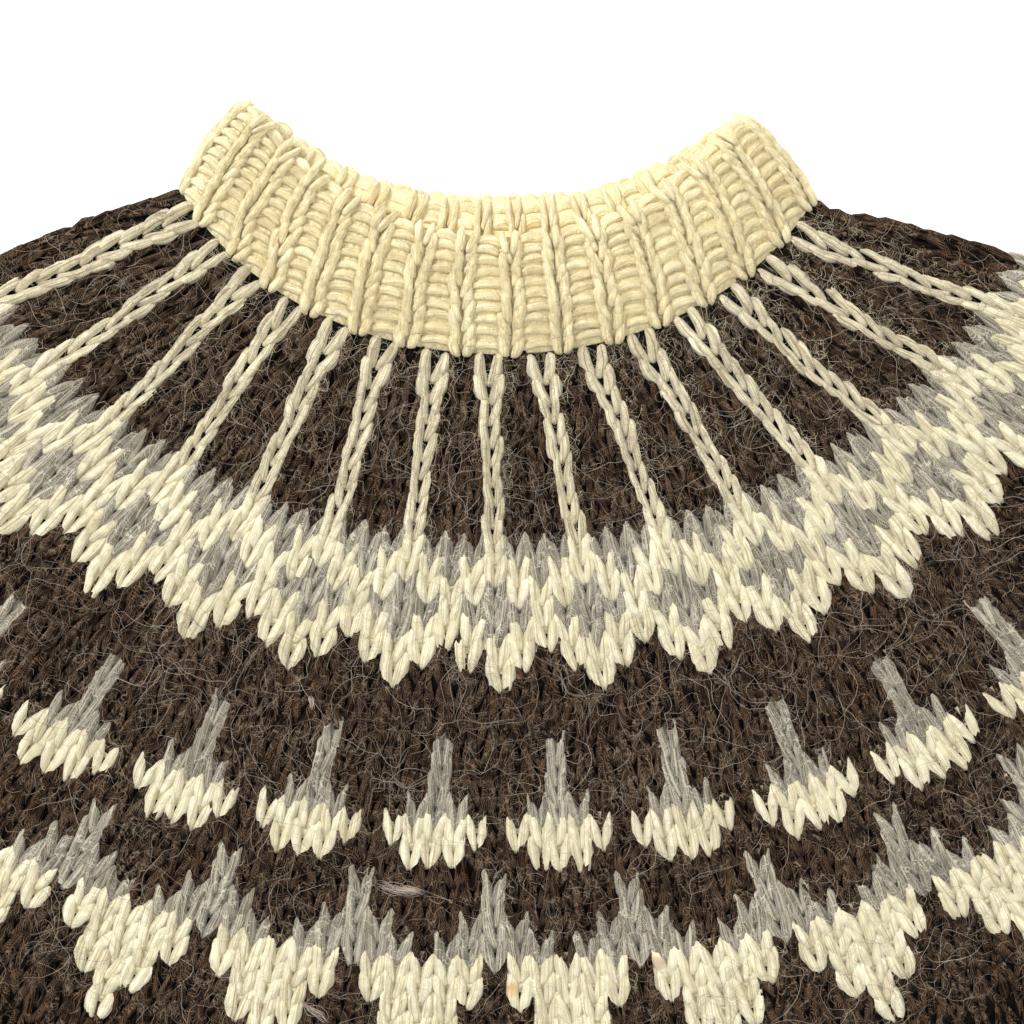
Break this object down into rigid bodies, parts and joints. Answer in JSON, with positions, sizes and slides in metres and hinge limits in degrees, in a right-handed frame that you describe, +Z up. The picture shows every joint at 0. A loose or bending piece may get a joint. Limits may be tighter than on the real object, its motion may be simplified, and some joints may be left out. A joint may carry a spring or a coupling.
{
  "type": "nordic circular-yoke sweater laid flat",
  "caption": "Long-sleeved pullover sweater in bulky wool with a patterned round yoke and a folded ribbed neckband, laid flat on its back.",
  "frame": {"origin": "centre of the bounding box at its bottom, on the surface that the sweater lies on", "axes": "+X across the sweater towards the right of the picture, +Y along it towards the neck, +Z up out of the front"},
  "size_m": [1.4178, 0.6838, 0.015],
  "materials": {
    "brown_wool": "matte, fuzzy, heathered dark brown bulky wool",
    "cream_wool": "matte, soft natural cream bulky wool",
    "grey_wool": "matte, heathered light grey bulky wool"
  },
  "bodies": {
    "root": {"yoke": "brown_wool", "body": "brown_wool", "sleeve_left": "brown_wool", "sleeve_right": "brown_wool", "neckband": "cream_wool", "hem_rib": "brown_wool", "cuff_left": "brown_wool", "cuff_right": "brown_wool"}
  },
  "joints": []
}
